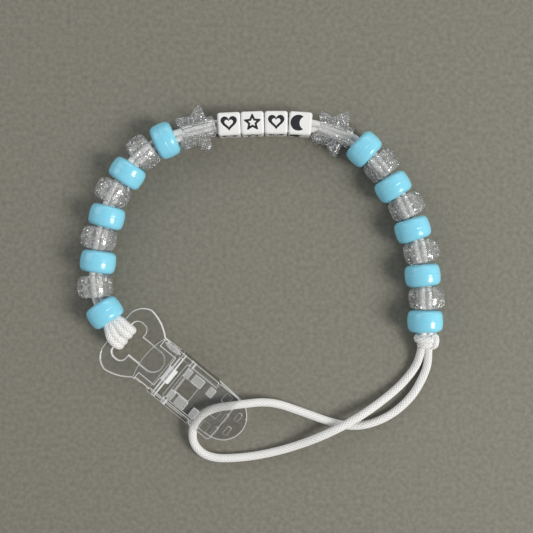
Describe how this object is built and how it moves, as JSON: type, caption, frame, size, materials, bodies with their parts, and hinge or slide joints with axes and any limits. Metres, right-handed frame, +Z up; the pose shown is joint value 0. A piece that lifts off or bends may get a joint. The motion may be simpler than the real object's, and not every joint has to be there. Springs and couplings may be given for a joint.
{
  "type": "beaded pacifier clip strap",
  "caption": "Beaded strap on a doubled satin cord, with a clear plastic garment clip hitched to one end and a knotted cord loop for a ring at the other, lying on a table.",
  "frame": {"origin": "on the table, at the middle of the footprint of everything but the cord loop", "axes": "+Z up off the table, +Y towards the middle of the strap, +X towards the knotted end; the clip is on the -X side"},
  "size_m": [0.0925, 0.0903, 0.009],
  "materials": {
    "blue_plastic": "smooth opaque light blue",
    "clear_glitter": "clear plastic filled with fine silver glitter",
    "white_plastic": "smooth opaque white with black printed shapes",
    "white_cord": "satin braid",
    "clear_plastic": "polished clear plastic",
    "pin_plastic": "smooth frosted plastic"
  },
  "bodies": {
    "strap": {"strap_strand_inner": "white_cord", "strap_strand_outer": "white_cord", "clip_hitch": "white_cord", "end_knot": "white_cord", "loop_cord": "white_cord", "clip_base": "clear_plastic", "clip_pin": "pin_plastic"},
    "clip_lever": {"clip_lever": "clear_plastic"},
    "clip_upper_jaw": {"clip_upper_jaw": "clear_plastic"},
    "blue_bead_1": {"blue_bead_1": "blue_plastic"},
    "blue_bead_2": {"blue_bead_2": "blue_plastic"},
    "blue_bead_3": {"blue_bead_3": "blue_plastic"},
    "blue_bead_4": {"blue_bead_4": "blue_plastic"},
    "blue_bead_5": {"blue_bead_5": "blue_plastic"},
    "blue_bead_6": {"blue_bead_6": "blue_plastic"},
    "blue_bead_7": {"blue_bead_7": "blue_plastic"},
    "blue_bead_8": {"blue_bead_8": "blue_plastic"},
    "blue_bead_9": {"blue_bead_9": "blue_plastic"},
    "blue_bead_10": {"blue_bead_10": "blue_plastic"},
    "clear_bead_1": {"clear_bead_1": "clear_glitter"},
    "clear_bead_2": {"clear_bead_2": "clear_glitter"},
    "clear_bead_3": {"clear_bead_3": "clear_glitter"},
    "clear_bead_4": {"clear_bead_4": "clear_glitter"},
    "clear_bead_5": {"clear_bead_5": "clear_glitter"},
    "clear_bead_6": {"clear_bead_6": "clear_glitter"},
    "clear_bead_7": {"clear_bead_7": "clear_glitter"},
    "clear_bead_8": {"clear_bead_8": "clear_glitter"},
    "star_bead_1": {"star_bead_1": "clear_glitter"},
    "star_bead_2": {"star_bead_2": "clear_glitter"},
    "cube_bead_1": {"cube_bead_1": "white_plastic"},
    "cube_bead_2": {"cube_bead_2": "white_plastic"},
    "cube_bead_3": {"cube_bead_3": "white_plastic"},
    "cube_bead_4": {"cube_bead_4": "white_plastic"}
  },
  "joints": [
    {"name": "blue_bead_1_spin", "type": "hinge", "parent": "strap", "child": "blue_bead_1", "pos_m": [-0.0393, -0.00962, 0.0045], "axis": [-0.5592, 0.829, 0], "continuous": true},
    {"name": "blue_bead_2_spin", "type": "hinge", "parent": "strap", "child": "blue_bead_2", "pos_m": [-0.04102, 0.00319, 0.0045], "axis": [0.1392, 0.9903, 0], "continuous": true},
    {"name": "blue_bead_3_spin", "type": "hinge", "parent": "strap", "child": "blue_bead_3", "pos_m": [-0.03881, 0.01454, 0.0045], "axis": [0.2419, 0.9703, 0], "continuous": true},
    {"name": "blue_bead_4_spin", "type": "hinge", "parent": "strap", "child": "blue_bead_4", "pos_m": [-0.03369, 0.02546, 0.0045], "axis": [0.5446, 0.8387, 0], "continuous": true},
    {"name": "blue_bead_5_spin", "type": "hinge", "parent": "strap", "child": "blue_bead_5", "pos_m": [-0.02414, 0.03373, 0.0045], "axis": [0.9135, 0.4067, 0], "continuous": true},
    {"name": "blue_bead_6_spin", "type": "hinge", "parent": "strap", "child": "blue_bead_6", "pos_m": [0.02596, 0.03154, 0.0045], "axis": [0.7193, -0.6947, 0], "continuous": true},
    {"name": "blue_bead_7_spin", "type": "hinge", "parent": "strap", "child": "blue_bead_7", "pos_m": [0.03324, 0.02207, 0.0045], "axis": [0.515, -0.8572, 0], "continuous": true},
    {"name": "blue_bead_8_spin", "type": "hinge", "parent": "strap", "child": "blue_bead_8", "pos_m": [0.0382, 0.01131, 0.0045], "axis": [0.309, -0.9511, 0], "continuous": true},
    {"name": "blue_bead_9_spin", "type": "hinge", "parent": "strap", "child": "blue_bead_9", "pos_m": [0.0407, -0.00023, 0.0045], "axis": [0.1045, -0.9945, 0], "continuous": true},
    {"name": "blue_bead_10_spin", "type": "hinge", "parent": "strap", "child": "blue_bead_10", "pos_m": [0.04136, -0.01173, 0.0045], "axis": [0.0174, -0.9998, 0], "continuous": true},
    {"name": "clear_bead_1_spin", "type": "hinge", "parent": "strap", "child": "clear_bead_1", "pos_m": [-0.04173, -0.00299, 0.0045], "axis": [-0.0698, 0.9976, 0], "continuous": true},
    {"name": "clear_bead_2_spin", "type": "hinge", "parent": "strap", "child": "clear_bead_2", "pos_m": [-0.0408, 0.00904, 0.0045], "axis": [0.1908, 0.9816, 0], "continuous": true},
    {"name": "clear_bead_3_spin", "type": "hinge", "parent": "strap", "child": "clear_bead_3", "pos_m": [-0.03731, 0.02068, 0.0045], "axis": [0.454, 0.891, 0], "continuous": true},
    {"name": "clear_bead_4_spin", "type": "hinge", "parent": "strap", "child": "clear_bead_4", "pos_m": [-0.02975, 0.03071, 0.0045], "axis": [0.788, 0.6157, 0], "continuous": true},
    {"name": "clear_bead_5_spin", "type": "hinge", "parent": "strap", "child": "clear_bead_5", "pos_m": [0.03039, 0.02745, 0.0045], "axis": [0.6293, -0.7771, 0], "continuous": true},
    {"name": "clear_bead_6_spin", "type": "hinge", "parent": "strap", "child": "clear_bead_6", "pos_m": [0.0367, 0.01716, 0.0045], "axis": [0.4226, -0.9063, 0], "continuous": true},
    {"name": "clear_bead_7_spin", "type": "hinge", "parent": "strap", "child": "clear_bead_7", "pos_m": [0.04046, 0.00576, 0.0045], "axis": [0.2079, -0.9781, 0], "continuous": true},
    {"name": "clear_bead_8_spin", "type": "hinge", "parent": "strap", "child": "clear_bead_8", "pos_m": [0.04176, -0.00596, 0.0045], "axis": [0.0523, -0.9986, 0], "continuous": true},
    {"name": "star_bead_1_spin", "type": "hinge", "parent": "strap", "child": "star_bead_1", "pos_m": [-0.01616, 0.03637, 0.0037], "axis": [0.9617, 0.2577, -0.0932], "continuous": true},
    {"name": "star_bead_2_spin", "type": "hinge", "parent": "strap", "child": "star_bead_2", "pos_m": [0.01851, 0.03576, 0.0037], "axis": [0.9356, -0.3405, 0.0932], "continuous": true},
    {"name": "cube_bead_1_spin", "type": "hinge", "parent": "strap", "child": "cube_bead_1", "pos_m": [-0.00805, 0.03784, 0.0029], "axis": [0.9986, 0.0523, 0], "continuous": true},
    {"name": "cube_bead_2_spin", "type": "hinge", "parent": "strap", "child": "cube_bead_2", "pos_m": [-0.00214, 0.0381, 0.0029], "axis": [0.9994, 0.0349, 0], "continuous": true},
    {"name": "cube_bead_3_spin", "type": "hinge", "parent": "strap", "child": "cube_bead_3", "pos_m": [0.00382, 0.0382, 0.0029], "axis": [1, 0, 0], "continuous": true},
    {"name": "cube_bead_4_spin", "type": "hinge", "parent": "strap", "child": "cube_bead_4", "pos_m": [0.00991, 0.03799, 0.0029], "axis": [0.9976, -0.0698, 0], "continuous": true},
    {"name": "lever_flip", "type": "hinge", "parent": "strap", "child": "clip_lever", "pos_m": [-0.02312, -0.02519, 0.0053], "axis": [0.6334, 0.7738, 0], "range_deg": [0, 100]},
    {"name": "upper_jaw_open", "type": "hinge", "parent": "strap", "child": "clip_upper_jaw", "pos_m": [-0.02072, -0.02715, 0.0052], "axis": [-0.6334, -0.7738, 0], "range_deg": [0, 10]}
  ],
  "couplings": [
    {"joint": "upper_jaw_open", "follows": "lever_flip", "ratio": 0.1}
  ]
}
